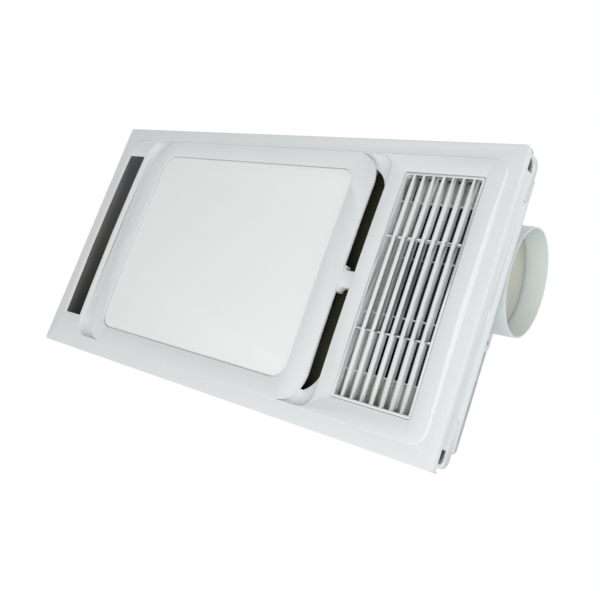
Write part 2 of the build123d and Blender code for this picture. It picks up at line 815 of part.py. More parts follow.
with BuildPart() as housing:
    add(prism(housing_length, housing_width, housing_corner, frame_top, housing_top, housing_x))
    fillet(housing.faces().sort_by(Axis.Z)[-1].edges(), housing_edge)
    add(housing_inside.part, mode=Mode.SUBTRACT)
    with BuildSketch(Plane.XY.offset(frame_top)):
        with Locations((housing_x, 0)):
            RectangleRounded(housing_length + 2 * housing_flange, housing_width + 2 * housing_flange,
                             housing_corner + housing_flange)
            RectangleRounded(inner_length, inner_width, housing_corner - sheet, mode=Mode.SUBTRACT)
    extrude(amount=sheet)
    # Embossed beads across the top and along the long sides
    with BuildSketch(Plane.XY.offset(housing_top)):
        with Locations((bead_center_x, 0)):
            with GridLocations(bead_pitch, 0, bead_count, 1):
                SlotOverall(bead_length, bead_width, rotation=90)
    extrude(amount=bead_height, taper=bead_slope)
    for side in (-1, 1):
        side_face = Plane(origin=(housing_x, side * housing_width / 2, side_bead_z),
                          x_dir=(1, 0, 0), z_dir=(0, side, 0))
        with BuildSketch(side_face):
            with GridLocations(side_bead_pitch, 0, side_bead_count, 1):
                SlotOverall(side_bead_length, bead_width)
        extrude(amount=bead_height, taper=bead_slope)
    # Duct opening, shaft hole, supply hole and screw holes
    with BuildSketch(Plane.YZ.offset(housing_right - 2 * sheet)):
        with Locations((duct_y, duct_z)):
            Circle(duct_port_radius)
            with GridLocations(2 * spigot_screw_y, 2 * spigot_screw_z, 2, 2):
                Circle(screw_radius)
    extrude(amount=4 * sheet, mode=Mode.SUBTRACT)
    with BuildSketch(Plane.XY.offset(housing_top - 2 * sheet)):
        with Locations((door_x, door_y)):
            Circle(door_shaft_radius + slip)
        with Locations((supply_x, 0)):
            Circle(supply_hole_radius)
            with GridLocations(2 * supply_screw_x, 2 * supply_screw_y, 2, 2):
                Circle(screw_radius)
        with Locations((door_x, door_y)):
            with GridLocations(2 * door_motor_screw, 0, 2, 1):
                Circle(screw_radius)
    extrude(amount=4 * sheet, mode=Mode.SUBTRACT)
    with BuildSketch(Plane.XY.offset(frame_top)):
        with Locations(*flange_screw_spots):
            Circle(screw_radius + screw_clearance)
    extrude(amount=sheet, mode=Mode.SUBTRACT)
housing.part.label = "housing"
export_step(housing.part, "parts/housing.step")

with BuildPart() as housing_screws:
    with Locations(*flange_screw_spots):
        add(screw_down(frame_top + sheet, frame_wall + sheet + slip))
housing_screws.part.label = "housing_screws"
export_step(housing_screws.part, "parts/housing_screws.step")

# Intake baffle behind the grille, its dark liner and the roof over the right-hand air slots
with BuildPart() as intake_baffle:
    with BuildSketch(Plane.XY.offset(rim_top)):
        with Locations(((baffle_left + baffle_wall + baffle_right) / 2, 0)):
            Rectangle(baffle_right - baffle_left - baffle_wall, baffle_width)
        with Locations(((baffle_hole_left + baffle_hole_right) / 2, 0)):
            RectangleRounded(baffle_hole_right - baffle_hole_left, baffle_hole_width,
                             baffle_hole_corner, mode=Mode.SUBTRACT)
        with Locations((wire_slot_x, wire_slot_y)):
            RectangleRounded(wire_slot_width, wire_slot_length, wire_slot_corner,
                             mode=Mode.SUBTRACT)
    extrude(amount=baffle_wall)
intake_baffle.part.label = "intake_baffle"
export_step(intake_baffle.part, "parts/intake_baffle.step")

with BuildPart() as slot_roof:
    with BuildSketch(Plane.XZ.offset(-roof_width / 2)):
        with BuildLine():
            Polyline(
                (baffle_left, rim_top), (baffle_left, roof_z), (roof_left, roof_z),
                (roof_left, deck_z), (roof_left + baffle_wall, deck_z),
                (roof_left + baffle_wall, roof_z + baffle_wall),
                (baffle_left + baffle_wall, roof_z + baffle_wall),
                (baffle_left + baffle_wall, rim_top), close=True)
        make_face()
    extrude(amount=roof_width)
slot_roof.part.label = "slot_roof"
export_step(slot_roof.part, "parts/slot_roof.step")

with BuildPart() as intake_liner:
    with BuildSketch(Plane.XY.offset(rim_top + baffle_wall)):
        with Locations(((liner_left + liner_right) / 2, 0)):
            Rectangle(liner_right - liner_left, liner_width)
    extrude(amount=liner_top - rim_top - baffle_wall)
    with BuildSketch(Plane.XY.offset(rim_top + baffle_wall)):
        with Locations(((liner_left + liner_right) / 2, 0)):
            Rectangle(liner_right - liner_left - 2 * liner_wall, liner_width - 2 * liner_wall)
    extrude(amount=liner_top - liner_wall - rim_top - baffle_wall, mode=Mode.SUBTRACT)
    with BuildSketch(Plane.XY.offset(liner_top)):
        with Locations((blower_x, blower_y)):
            Circle(inlet_radius + liner_hole_margin)
    extrude(amount=-liner_wall, mode=Mode.SUBTRACT)
intake_liner.part.label = "intake_liner"
export_step(intake_liner.part, "parts/intake_liner.step")

# Duct spigot: tube with a wall flange, its end and the flap's seat leaning back at the top
flap_seat = Plane(origin=(flap_x, duct_y, duct_z), x_dir=(0, 1, 0),
                  z_dir=(cos(radians(duct_tilt)), 0, sin(radians(duct_tilt))))
duct_end = Plane(origin=(duct_end_x, duct_y, duct_z), x_dir=flap_seat.x_dir,
                 z_dir=flap_seat.z_dir)
flap_pin_spot = Location((0, flap_pin_rise, -flap_pin_back), (0, 90, 0))
with BuildPart() as duct_spigot:
    with BuildSketch(Plane.XZ.offset(-duct_y)):
        with BuildLine():
            Polyline(
                (housing_right, duct_z + duct_port_radius),
                (housing_right, duct_z + duct_base_radius),
                (duct_end_x + tilt_reach, duct_z + duct_end_radius),
                (duct_end_x + tilt_reach, duct_z + bore_at_end),
                (housing_right + duct_flange_wall, duct_z + bore_at_base),
                (housing_right + duct_flange_wall, duct_z + duct_port_radius), close=True)
        make_face()
    revolve(axis=Axis((0, duct_y, duct_z), (1, 0, 0)))
    with BuildSketch(duct_end):
        Circle(2 * duct_base_radius)
    extrude(amount=duct_base_radius, mode=Mode.SUBTRACT)
    with BuildSketch(flap_seat.offset(-slip)):
        Circle(bore_at_flap + seat_bite)
        Circle(bore_at_flap - seat_step, mode=Mode.SUBTRACT)
        with Locations((0, flap_pin_rise - flap_hub_radius - seam + 2 * duct_base_radius)):
            Rectangle(4 * duct_base_radius, 4 * duct_base_radius, mode=Mode.SUBTRACT)
    extrude(amount=-seat_wall)
    with BuildSketch(Plane.YZ.offset(housing_right)):
        with Locations((duct_y, duct_z)):
            RectangleRounded(duct_flange_width, duct_flange_height, duct_flange_corner)
            Circle(duct_port_radius, mode=Mode.SUBTRACT)
            with GridLocations(2 * spigot_screw_y, 2 * spigot_screw_z, 2, 2):
                Circle(screw_radius + screw_clearance, mode=Mode.SUBTRACT)
        # Notches in the lower edge clear the heads of the housing screws
        with Locations(*[(y, frame_top + sheet) for x, y in flange_screw_spots if x > housing_x]):
            Rectangle(2 * (screw_head_radius + slip), 2 * (screw_head_height + slip),
                      mode=Mode.SUBTRACT)
    extrude(amount=duct_flange_wall)
    with Locations(flap_seat.location * flap_pin_spot):
        Cylinder(flap_pin_radius, 2 * flap_pin_half, mode=Mode.SUBTRACT)
duct_spigot.part.label = "duct_spigot"
export_step(duct_spigot.part, "parts/duct_spigot.step")

spigot_face = Plane(origin=(housing_right + duct_flange_wall, duct_y, duct_z), z_dir=(1, 0, 0),
                    x_dir=(0, 1, 0))
with BuildPart(spigot_face) as spigot_screws:
    with GridLocations(2 * spigot_screw_y, 2 * spigot_screw_z, 2, 2):
        add(screw_down(0, duct_flange_wall + sheet + slip))
spigot_screws.part.label = "spigot_screws"
export_step(spigot_screws.part, "parts/spigot_screws.step")

with BuildPart() as flap_pin:
    with Locations(flap_seat.location * flap_pin_spot):
        Cylinder(flap_pin_radius, 2 * flap_pin_half)
flap_pin.part.label = "flap_pin"
export_step(flap_pin.part, "parts/flap_pin.step")

with BuildPart() as check_flap:
    with BuildSketch(flap_seat):
        Circle(flap_radius)
    extrude(amount=flap_wall)
    with Locations(flap_seat.location * flap_pin_spot):
        Cylinder(flap_hub_radius, 2 * flap_hub_half)
        Cylinder(flap_pin_radius + running, 2 * flap_radius, mode=Mode.SUBTRACT)
check_flap.part.label = "check_flap"
export_step(check_flap.part, "parts/check_flap.step")

# Blower: deck with its inlet, scroll, impeller, motor and soft mounts

def spiral_point(angle, extra=0.0):
    """Point of the scroll's spiral at an angle in degrees, `extra` outside its inner face."""
    turn = (angle - scroll_start_angle) / (180 - scroll_start_angle)
    radius = scroll_start_radius + scroll_growth * turn + extra
    return (blower_x + radius * cos(radians(angle)), blower_y + radius * sin(radians(angle)))


spiral_angles = [scroll_start_angle + (180 - scroll_start_angle) * i / 10 for i in range(11)]


def scroll_outline(extra):
    """Closed outline of the scroll and its throat, `extra` outside the inner face."""
    points = [spiral_point(angle, extra) for angle in spiral_angles]
    points[0] = (throat_right + extra, points[0][1])
    with BuildLine() as outline:
        Spline(*points)
        Polyline(points[-1], (points[-1][0], box_top_y), (throat_right + extra, box_top_y), points[0])
    return outline.line


scroll_tabs = [spiral_point(angle, scroll_wall + screw_head_radius + slip) for angle in tab_angles]
deck_left = roof_left
deck_right = housing_right - sheet - slip
with BuildPart() as blower_deck:
    with BuildSketch(Plane.XY.offset(deck_z)):
        with Locations(((deck_left + deck_right) / 2, 0)):
            RectangleRounded(deck_right - deck_left, inner_width - 2 * slip, housing_corner)
        with Locations((blower_x, blower_y)):
            Circle(inlet_radius, mode=Mode.SUBTRACT)
        with Locations(*scroll_tabs):
            Circle(screw_radius, mode=Mode.SUBTRACT)
    extrude(amount=deck_wall)
    with BuildSketch(Plane.XY.offset(deck_z)):
        with Locations((blower_x, blower_y)):
            Circle(inlet_radius + inlet_lip)
            Circle(inlet_radius, mode=Mode.SUBTRACT)
    extrude(amount=impeller_bottom - deck_z - slip)
blower_deck.part.label = "blower_deck"
export_step(blower_deck.part, "parts/blower_deck.step")

with BuildPart() as scroll:
    with BuildSketch(Plane.XY.offset(deck_top)):
        add(scroll_outline(scroll_wall))
        make_face()
    extrude(amount=scroll_top - deck_top)
    with BuildSketch(Plane.XY.offset(deck_top)):
        add(scroll_outline(0))
        make_face()
    extrude(amount=scroll_top - scroll_wall - deck_top, mode=Mode.SUBTRACT)
    with BuildSketch(Plane.XY.offset(scroll_top - scroll_wall)):
        with Locations((blower_x, blower_y)):
            Circle(hub_radius + slip)
            with PolarLocations(grommet_ring, 3, start_angle=90):
                Circle(grommet_hole)
    extrude(amount=scroll_wall, mode=Mode.SUBTRACT)
    with BuildSketch(Plane.XY.offset(deck_top)):
        with Locations(*scroll_tabs):
            Circle(tab_radius)
            Circle(screw_radius + screw_clearance, mode=Mode.SUBTRACT)
        add(scroll_outline(0))
        make_face(mode=Mode.SUBTRACT)
    extrude(amount=scroll_wall)
scroll.part.label = "blower_scroll"
export_step(scroll.part, "parts/blower_scroll.step")

with BuildPart() as scroll_screws:
    with Locations(*scroll_tabs):
        add(screw_down(deck_top + scroll_wall, scroll_wall + deck_wall + slip))
scroll_screws.part.label = "scroll_screws"
export_step(scroll_screws.part, "parts/scroll_screws.step")

impeller_top = impeller_bottom + impeller_height
with BuildPart() as impeller:
    with BuildSketch(Plane.XY.offset(impeller_bottom)):
        with Locations((blower_x, blower_y)):
            Circle(impeller_radius)
            Circle(blade_inner_radius, mode=Mode.SUBTRACT)
    extrude(amount=ring_wall)
    with BuildSketch(Plane.XY.offset(impeller_top - ring_wall)):
        with Locations((blower_x, blower_y)):
            Circle(impeller_radius)
    extrude(amount=ring_wall)
    with BuildSketch(Plane.XY.offset(impeller_bottom)):
        with Locations((blower_x, blower_y)):
            with PolarLocations((impeller_radius + blade_inner_radius) / 2, blade_count):
                Rectangle(impeller_radius - blade_inner_radius, blade_wall, rotation=blade_angle)
    extrude(amount=impeller_height)
    with BuildSketch(Plane.XY.offset(impeller_top - hub_height)):
        with Locations((blower_x, blower_y)):
            Circle(hub_radius)
    extrude(amount=hub_height)
    with BuildSketch(Plane.XY.offset(impeller_bottom)):
        with Locations((blower_x, blower_y)):
            Circle(shaft_radius)
    extrude(amount=2 * impeller_height, mode=Mode.SUBTRACT)
impeller.part.label = "impeller"
export_step(impeller.part, "parts/impeller.step")

motor_top = motor_bottom + motor_height
with BuildPart() as motor_mounts:
    with BuildSketch(Plane.XY.offset(scroll_top)):
        with Locations((blower_x, blower_y)):
            with PolarLocations(grommet_ring, 3, start_angle=90):
                Circle(grommet_radius)
                Circle(grommet_hole, mode=Mode.SUBTRACT)
    extrude(amount=motor_bottom - scroll_top)
motor_mounts.part.label = "motor_mounts"
export_step(motor_mounts.part, "parts/motor_mounts.step")

with BuildPart() as motor_can:
    with BuildSketch(Plane.XY.offset(motor_bottom)):
        with Locations((blower_x, blower_y)):
            Circle(motor_radius)
    extrude(amount=motor_height)
    fillet(motor_can.edges().filter_by(GeomType.CIRCLE), block_round)
    with BuildSketch(Plane.XY.offset(motor_bottom)):
        with Locations((blower_x, blower_y)):
            with PolarLocations(grommet_ring / 2, 3, start_angle=90):
                SlotOverall(grommet_ring + 2 * grommet_radius, 2 * grommet_radius)
    extrude(amount=ear_wall)
    with BuildSketch(Plane.XY.offset(motor_bottom + motor_wall)):
        with Locations((blower_x, blower_y)):
            Circle(stator_outer)
    extrude(amount=motor_height - 2 * motor_wall, mode=Mode.SUBTRACT)
    with BuildSketch(Plane.XY.offset(motor_bottom)):
        with Locations((blower_x, blower_y)):
            Circle(shaft_radius + slip)
            with PolarLocations(grommet_ring, 3, start_angle=90):
                Circle(grommet_hole)
    extrude(amount=motor_height, mode=Mode.SUBTRACT)
motor_can.part.label = "motor_can"
export_step(motor_can.part, "parts/motor_can.step")

with BuildPart() as motor_screws:
    with Locations((blower_x, blower_y, 0)):
        with PolarLocations(grommet_ring, 3, start_angle=90):
            add(screw_down(motor_bottom + ear_wall, motor_bottom + ear_wall - scroll_top + scroll_wall,
                           grommet_hole))
motor_screws.part.label = "motor_screws"
export_step(motor_screws.part, "parts/motor_screws.step")

bearing_low = motor_bottom + motor_wall
bearing_high = motor_top - motor_wall - bearing_width
stator_bottom = (bearing_low + bearing_high + bearing_width - stator_height) / 2
with BuildPart() as motor_bearings:
    for height in (bearing_low, bearing_high):
        with BuildSketch(Plane.XY.offset(height)):
            with Locations((blower_x, blower_y)):
                Circle(bearing_radius)
                Circle(shaft_radius + running, mode=Mode.SUBTRACT)
        extrude(amount=bearing_width)
motor_bearings.part.label = "motor_bearings"
export_step(motor_bearings.part, "parts/motor_bearings.step")

with BuildPart() as motor_stator:
    with BuildSketch(Plane.XY.offset(stator_bottom)):
        with Locations((blower_x, blower_y)):
            Circle(stator_outer)
            Circle(stator_inner, mode=Mode.SUBTRACT)
            with PolarLocations((stator_inner + stator_outer) / 2, winding_count):
                Rectangle(winding_depth, winding_width, mode=Mode.SUBTRACT)
    extrude(amount=stator_height)
motor_stator.part.label = "motor_stator"
export_step(motor_stator.part, "parts/motor_stator.step")

with BuildPart() as motor_windings:
    with BuildSketch(Plane.XY.offset(stator_bottom - winding_overhang)):
        with Locations((blower_x, blower_y)):
            with PolarLocations((stator_inner + stator_outer) / 2, winding_count):
                Rectangle(winding_depth, winding_width)
    extrude(amount=stator_height + 2 * winding_overhang)
motor_windings.part.label = "motor_windings"
export_step(motor_windings.part, "parts/motor_windings.step")

with BuildPart() as motor_rotor:
    with BuildSketch(Plane.XY.offset(stator_bottom)):
        with Locations((blower_x, blower_y)):
            Circle(stator_inner - rotor_gap)
            Circle(shaft_radius, mode=Mode.SUBTRACT)
    extrude(amount=stator_height)
motor_rotor.part.label = "motor_rotor"
export_step(motor_rotor.part, "parts/motor_rotor.step")

with BuildPart() as motor_shaft:
    with BuildSketch(Plane.XY.offset(impeller_top - hub_height)):
        with Locations((blower_x, blower_y)):
            Circle(shaft_radius)
    extrude(amount=motor_top - impeller_top + hub_height - motor_wall / 2)
motor_shaft.part.label = "motor_shaft"
export_step(motor_shaft.part, "parts/motor_shaft.step")

# Air box with the door that sends the air to the duct or through the heater
box_length = box_right - box_left
box_width = box_top_y - box_bottom_y
box_x = (box_left + box_right) / 2
box_y = (box_bottom_y + box_top_y) / 2
with BuildPart() as air_box:
    add(prism(box_length, box_width, box_wall, box_bottom, box_top_z, box_x, box_y))
    add(prism(box_length - 2 * box_wall, box_width - 2 * box_wall, box_wall / 2,
              box_bottom + box_wall, box_top_z - box_wall, box_x, box_y), mode=Mode.SUBTRACT)
    with BuildSketch(Plane.YZ.offset(box_right - box_wall)):
        with Locations((duct_y, duct_z)):
            Circle(duct_port_radius)
    extrude(amount=box_wall, mode=Mode.SUBTRACT)
    with BuildSketch(Plane.YZ.offset(box_left)):
        with Locations((heater_y, heater_z)):
            Rectangle(heater_port_width, heater_port_height)
    extrude(amount=box_wall, mode=Mode.SUBTRACT)
    with BuildSketch(Plane.XY.offset(box_bottom + box_wall)):
        with Locations(((spiral_point(180)[0] + throat_right) / 2, box_top_y - box_wall / 2)):
            Rectangle(throat_right - spiral_point(180)[0], box_wall)
    extrude(amount=scroll_top - scroll_wall - box_bottom - box_wall, mode=Mode.SUBTRACT)
    # Ribs that the door closes against, and the bearing of its shaft
    with BuildSketch(Plane.XY.offset(box_bottom + box_wall)):
        for rib_x, rib_end in ((left_rib_x - seat_rib_wall, left_rib_end), (right_rib_x, right_rib_end)):
            with Locations((rib_x + seat_rib_wall / 2, (box_top_y - box_wall + rib_end) / 2)):
                Rectangle(seat_rib_wall, box_top_y - box_wall - rib_end)
    extrude(amount=box_top_z - box_bottom - 2 * box_wall)
    with BuildSketch(Plane.XY.offset(box_bottom + box_wall)):
        with Locations((door_x, door_y)):
            Circle(door_hub_radius)
            Circle(door_shaft_radius + running, mode=Mode.SUBTRACT)
    extrude(amount=door_bottom - box_bottom - box_wall - slip)
    with BuildSketch(Plane.XY.offset(box_top_z - box_wall)):
        with Locations((door_x, door_y)):
            Circle(door_shaft_radius + slip)
    extrude(amount=box_wall, mode=Mode.SUBTRACT)
air_box.part.label = "air_box"
export_step(air_box.part, "parts/air_box.step")

door_pivot = Location((door_x, door_y, door_bottom), (0, 0, door_rest_angle))
with BuildPart() as diverter_door:
    with BuildSketch(Plane(door_pivot)):
        with Locations((0, door_length / 2)):
            Rectangle(door_wall, door_length)
        Circle(door_hub_radius)
        Circle(door_shaft_radius, mode=Mode.SUBTRACT)
    extrude(amount=door_top - door_bottom)
diverter_door.part.label = "diverter_door"
export_step(diverter_door.part, "parts/diverter_door.step")

with BuildPart() as door_shaft:
    with BuildSketch(Plane.XY.offset(box_bottom + box_wall)):
        with Locations((door_x, door_y)):
            Circle(door_shaft_radius)
    extrude(amount=door_shaft_top - box_bottom - box_wall)
door_shaft.part.label = "door_shaft"
export_step(door_shaft.part, "parts/door_shaft.step")

with BuildPart() as door_motor:
    with BuildSketch(Plane.XY.offset(housing_top)):
        with Locations((door_x, door_y)):
            Circle(door_motor_radius)
    extrude(amount=door_motor_height)
    fillet(door_motor.faces().sort_by(Axis.Z)[-1].edges(), screw_radius)
    with BuildSketch(Plane.XY.offset(housing_top)):
        with Locations((door_x, door_y)):
            SlotOverall(2 * (door_motor_screw + door_ear_radius), 2 * door_ear_radius)
            with GridLocations(2 * door_motor_screw, 0, 2, 1):
                Circle(screw_radius + screw_clearance, mode=Mode.SUBTRACT)
    extrude(amount=door_ear_wall)
    with BuildSketch(Plane.XY.offset(housing_top)):
        with Locations((door_x, door_y)):
            Circle(door_shaft_radius + running)
    extrude(amount=door_shaft_top + running - housing_top, mode=Mode.SUBTRACT)
door_motor.part.label = "door_motor"
export_step(door_motor.part, "parts/door_motor.step")

with BuildPart() as door_motor_screws:
    with Locations((door_x, door_y, 0)):
        with GridLocations(2 * door_motor_screw, 0, 2, 1):
            add(screw_down(housing_top + door_ear_wall, door_ear_wall + sheet + slip))
door_motor_screws.part.label = "door_motor_screws"
export_step(door_motor_screws.part, "parts/door_motor_screws.step")

# Heater: frame, bars that warm up, fins between them and the thermal cut-out
heater_face = Plane(origin=(box_left - heater_depth, heater_y, heater_z), x_dir=(0, 1, 0),
                    z_dir=(1, 0, 0))
core_face = heater_face.offset((heater_depth - core_depth) / 2)
core_width = heater_width - 2 * heater_frame_wall
core_height = heater_height - 2 * heater_frame_wall
row_height = (core_height - bar_count * bar_wall) / (bar_count + 1)
with BuildPart() as heater_frame:
    with BuildSketch(heater_face):
        Rectangle(heater_width, heater_height)
        Rectangle(core_width, core_height, mode=Mode.SUBTRACT)
    extrude(amount=heater_depth)
heater_frame.part.label = "heater_frame"
export_step(heater_frame.part, "parts/heater_frame.step")

with BuildPart() as heater_bars:
    with BuildSketch(core_face):
        with GridLocations(0, row_height + bar_wall, 1, bar_count):
            Rectangle(core_width, bar_wall)
    extrude(amount=core_depth)
heater_bars.part.label = "heater_bars"
export_step(heater_bars.part, "parts/heater_bars.step")

with BuildPart() as heater_fins:
    with BuildSketch(core_face):
        with GridLocations(0, row_height + bar_wall, 1, bar_count + 1):
            Rectangle(core_width, row_height)
        with GridLocations(fin_pitch, row_height + bar_wall, int(core_width / fin_pitch), bar_count + 1):
            Rectangle(fin_pitch - fin_wall, row_height - 2 * fin_wall, mode=Mode.SUBTRACT)
    extrude(amount=core_depth)
heater_fins.part.label = "heater_fins"
export_step(heater_fins.part, "parts/heater_fins.step")

with BuildPart() as thermal_cutout:
    with BuildSketch(Plane.XY.offset(heater_z + heater_height / 2)):
        with Locations((box_left - heater_depth / 2, heater_y)):
            Circle(cutout_radius)
    extrude(amount=cutout_height)
thermal_cutout.part.label = "thermal_cutout"
export_step(thermal_cutout.part, "parts/thermal_cutout.step")

# Electronics on a shelf behind a bulkhead
shelf_left = housing_left + sheet + slip
board_top = board_z + board_wall
board_hole_x = board_width / 2 - board_hole_inset
board_hole_y = board_length / 2 - board_hole_inset
with BuildPart() as control_shelf:
    add(prism(shelf_right - shelf_left, inner_width - 2 * slip, housing_corner, deck_z,
              deck_z + shelf_wall, (shelf_left + shelf_right) / 2))
    with BuildSketch(Plane.XY.offset(deck_z)):
        with Locations((shelf_right - shelf_wall / 2, 0)):
            Rectangle(shelf_wall, inner_width - 2 * housing_corner)
    extrude(amount=bulkhead_top - deck_z)
    with BuildSketch(Plane.XY.offset(deck_z)):
        with Locations((board_x, board_y)):
            with GridLocations(2 * board_hole_x, 2 * board_hole_y, 2, 2):
                Circle(post_radius)
    extrude(amount=board_z - deck_z)
    with BuildSketch(Plane.XY.offset(board_z)):
        with Locations((board_x, board_y)):
            with GridLocations(2 * board_hole_x, 2 * board_hole_y, 2, 2):
                Circle(screw_radius)
    extrude(amount=deck_z + shelf_wall - board_z, mode=Mode.SUBTRACT)
control_shelf.part.label = "control_shelf"
export_step(control_shelf.part, "parts/control_shelf.step")

with BuildPart() as control_board:
    with BuildSketch(Plane.XY.offset(board_z)):
        with Locations((board_x, board_y)):
            RectangleRounded(board_width, board_length, board_corner)
            with GridLocations(2 * board_hole_x, 2 * board_hole_y, 2, 2):
                Circle(screw_radius + screw_clearance, mode=Mode.SUBTRACT)
    extrude(amount=board_wall)
control_board.part.label = "control_board"
export_step(control_board.part, "parts/control_board.step")

with BuildPart() as board_screws:
    with Locations((board_x, board_y, 0)):
        with GridLocations(2 * board_hole_x, 2 * board_hole_y, 2, 2):
            add(screw_down(board_top, board_top - deck_z - shelf_wall - slip))
board_screws.part.label = "board_screws"
export_step(board_screws.part, "parts/board_screws.step")

with BuildPart() as relays:
    with BuildSketch(Plane.XY.offset(board_top)):
        with Locations((relay_x, board_y)):
            with GridLocations(0, relay_pitch, 1, relay_count):
                Rectangle(relay_width, relay_length)
    extrude(amount=relay_height)
relays.part.label = "relays"
export_step(relays.part, "parts/relays.step")

with BuildPart() as transformer:
    with BuildSketch(Plane.XY.offset(board_top)):
        with Locations((transformer_x, transformer_y)):
            Rectangle(transformer_width, transformer_length)
    extrude(amount=transformer_height)
    fillet(transformer.edges().filter_by(Axis.Z), block_round)
transformer.part.label = "transformer"
export_step(transformer.part, "parts/transformer.step")

with BuildPart() as capacitors:
    with BuildSketch(Plane.XY.offset(board_top)):
        with Locations((capacitor_x, capacitor_y)):
            with GridLocations(capacitor_pitch, capacitor_pitch, 2, 2):
                Circle(capacitor_radius)
    extrude(amount=capacitor_height)
capacitors.part.label = "capacitors"
export_step(capacitors.part, "parts/capacitors.step")

with BuildPart() as plug_sockets:
    with BuildSketch(Plane.XY.offset(board_top)):
        with Locations((plug_x, plug_y)):
            Rectangle(plug_length, plug_width)
    extrude(amount=plug_height)
plug_sockets.part.label = "plug_sockets"
export_step(plug_sockets.part, "parts/plug_sockets.step")

with BuildPart() as led_driver:
    add(prism(driver_width, driver_length, block_corner, deck_z + shelf_wall,
              deck_z + shelf_wall + driver_height, board_x, driver_y))
    fillet(led_driver.faces().sort_by(Axis.Z)[-1].edges(), block_round)
led_driver.part.label = "led_driver"
export_step(led_driver.part, "parts/led_driver.step")

with BuildPart() as motor_capacitor:
    add(prism(run_capacitor_width, run_capacitor_length, block_corner, deck_z + shelf_wall,
              deck_z + shelf_wall + run_capacitor_height, run_capacitor_x, run_capacitor_y))
motor_capacitor.part.label = "motor_capacitor"
export_step(motor_capacitor.part, "parts/motor_capacitor.step")

# Supply box on the housing, with its terminals, cover and cable gland
supply_top = housing_top + supply_height
cover_screw_x = supply_length / 2 - cover_screw_inset
cover_screw_y = supply_width / 2 - cover_screw_inset
gland_z = housing_top + supply_height / 2
with BuildPart() as supply_box:
    add(prism(supply_length, supply_width, supply_corner, housing_top, supply_top, supply_x))
    add(prism(supply_length - 2 * supply_wall, supply_width - 2 * supply_wall,
              supply_corner - supply_wall, housing_top + supply_wall, supply_top + 1, supply_x),
        mode=Mode.SUBTRACT)
    with BuildSketch(Plane.XY.offset(housing_top)):
        with Locations((supply_x, 0)):
            with GridLocations(2 * cover_screw_x, 2 * cover_screw_y, 2, 2):
                Circle(cover_post_radius)
    extrude(amount=supply_height)
    with BuildSketch(Plane.XY.offset(supply_top)):
        with Locations((supply_x, 0)):
            with GridLocations(2 * cover_screw_x, 2 * cover_screw_y, 2, 2):
                Circle(screw_radius)
    extrude(amount=supply_wall - supply_height, mode=Mode.SUBTRACT)
    with BuildSketch(Plane.XY.offset(housing_top)):
        with Locations((supply_x, 0)):
            Circle(supply_hole_radius)
            with GridLocations(2 * supply_screw_x, 2 * supply_screw_y, 2, 2):
                Circle(screw_radius + screw_clearance)
    extrude(amount=supply_wall, mode=Mode.SUBTRACT)
    with BuildSketch(Plane.YZ.offset(supply_x - supply_length / 2)):
        with Locations((0, gland_z)):
            Circle(gland_radius - supply_wall)
    extrude(amount=supply_wall, mode=Mode.SUBTRACT)
supply_box.part.label = "supply_box"
export_step(supply_box.part, "parts/supply_box.step")

with BuildPart() as supply_box_screws:
    with Locations((supply_x, 0, 0)):
        with GridLocations(2 * supply_screw_x, 2 * supply_screw_y, 2, 2):
            add(screw_down(housing_top + supply_wall, supply_wall + sheet + slip))
supply_box_screws.part.label = "supply_box_screws"
export_step(supply_box_screws.part, "parts/supply_box_screws.step")

with BuildPart() as supply_cover:
    add(prism(supply_length, supply_width, supply_corner, supply_top, supply_top + cover_wall, supply_x))
    fillet(supply_cover.faces().sort_by(Axis.Z)[-1].edges(), cover_wall / 2)
    with BuildSketch(Plane.XY.offset(supply_top)):
        with Locations((supply_x, 0)):
            with GridLocations(2 * cover_screw_x, 2 * cover_screw_y, 2, 2):
                Circle(screw_radius + screw_clearance)
    extrude(amount=cover_wall, mode=Mode.SUBTRACT)
supply_cover.part.label = "supply_cover"
export_step(supply_cover.part, "parts/supply_cover.step")

with BuildPart() as cover_screws:
    with Locations((supply_x, 0, 0)):
        with GridLocations(2 * cover_screw_x, 2 * cover_screw_y, 2, 2):
            add(screw_down(supply_top + cover_wall, supply_height / 2))
cover_screws.part.label = "cover_screws"
export_step(cover_screws.part, "parts/cover_screws.step")

with BuildPart() as terminal_block:
    with BuildSketch(Plane.XY.offset(housing_top + supply_wall)):
        with Locations((supply_x, terminal_y + terminal_width / 2)):
            Rectangle(terminal_count * terminal_pitch, terminal_width)
    extrude(amount=terminal_height)
    with BuildSketch(Plane.XY.offset(housing_top + supply_wall + terminal_height)):
        with Locations((supply_x, terminal_y + terminal_width / 2)):
            with GridLocations(terminal_pitch, terminal_width / 2, terminal_count, 2):
                Circle(terminal_pitch / 3)
    extrude(amount=-terminal_height / 3, mode=Mode.SUBTRACT)
terminal_block.part.label = "terminal_block"
export_step(terminal_block.part, "parts/terminal_block.step")

with BuildPart() as cable_gland:
    with BuildSketch(Plane.YZ.offset(supply_x - supply_length / 2)):
        with Locations((0, gland_z)):
            RegularPolygon(gland_radius, 6)
    extrude(amount=-gland_length / 2)
    with BuildSketch(Plane.YZ.offset(supply_x - supply_length / 2)):
        with Locations((0, gland_z)):
            Circle(gland_radius - supply_wall)
    extrude(amount=-gland_length)
    with BuildSketch(Plane.YZ.offset(supply_x - supply_length / 2)):
        with Locations((0, gland_z)):
            Circle(gland_radius - supply_wall)
    extrude(amount=2 * supply_wall)
    with BuildSketch(Plane.YZ.offset(supply_x - supply_length / 2 - gland_length)):
        with Locations((0, gland_z)):
            Circle(gland_bore)
    extrude(amount=2 * gland_length, mode=Mode.SUBTRACT)
cable_gland.part.label = "cable_gland"
export_step(cable_gland.part, "parts/cable_gland.step")
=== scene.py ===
"""Looks of a bathroom ceiling heater: white face panel, panel light, intake grille, duct and body.

Everything is in metres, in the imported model's own frame: +X runs along the panel towards the
grille, +Y across it, and the face looks down, towards -Z.
"""

import json
import logging
from dataclasses import dataclass
from enum import Enum
from functools import cache

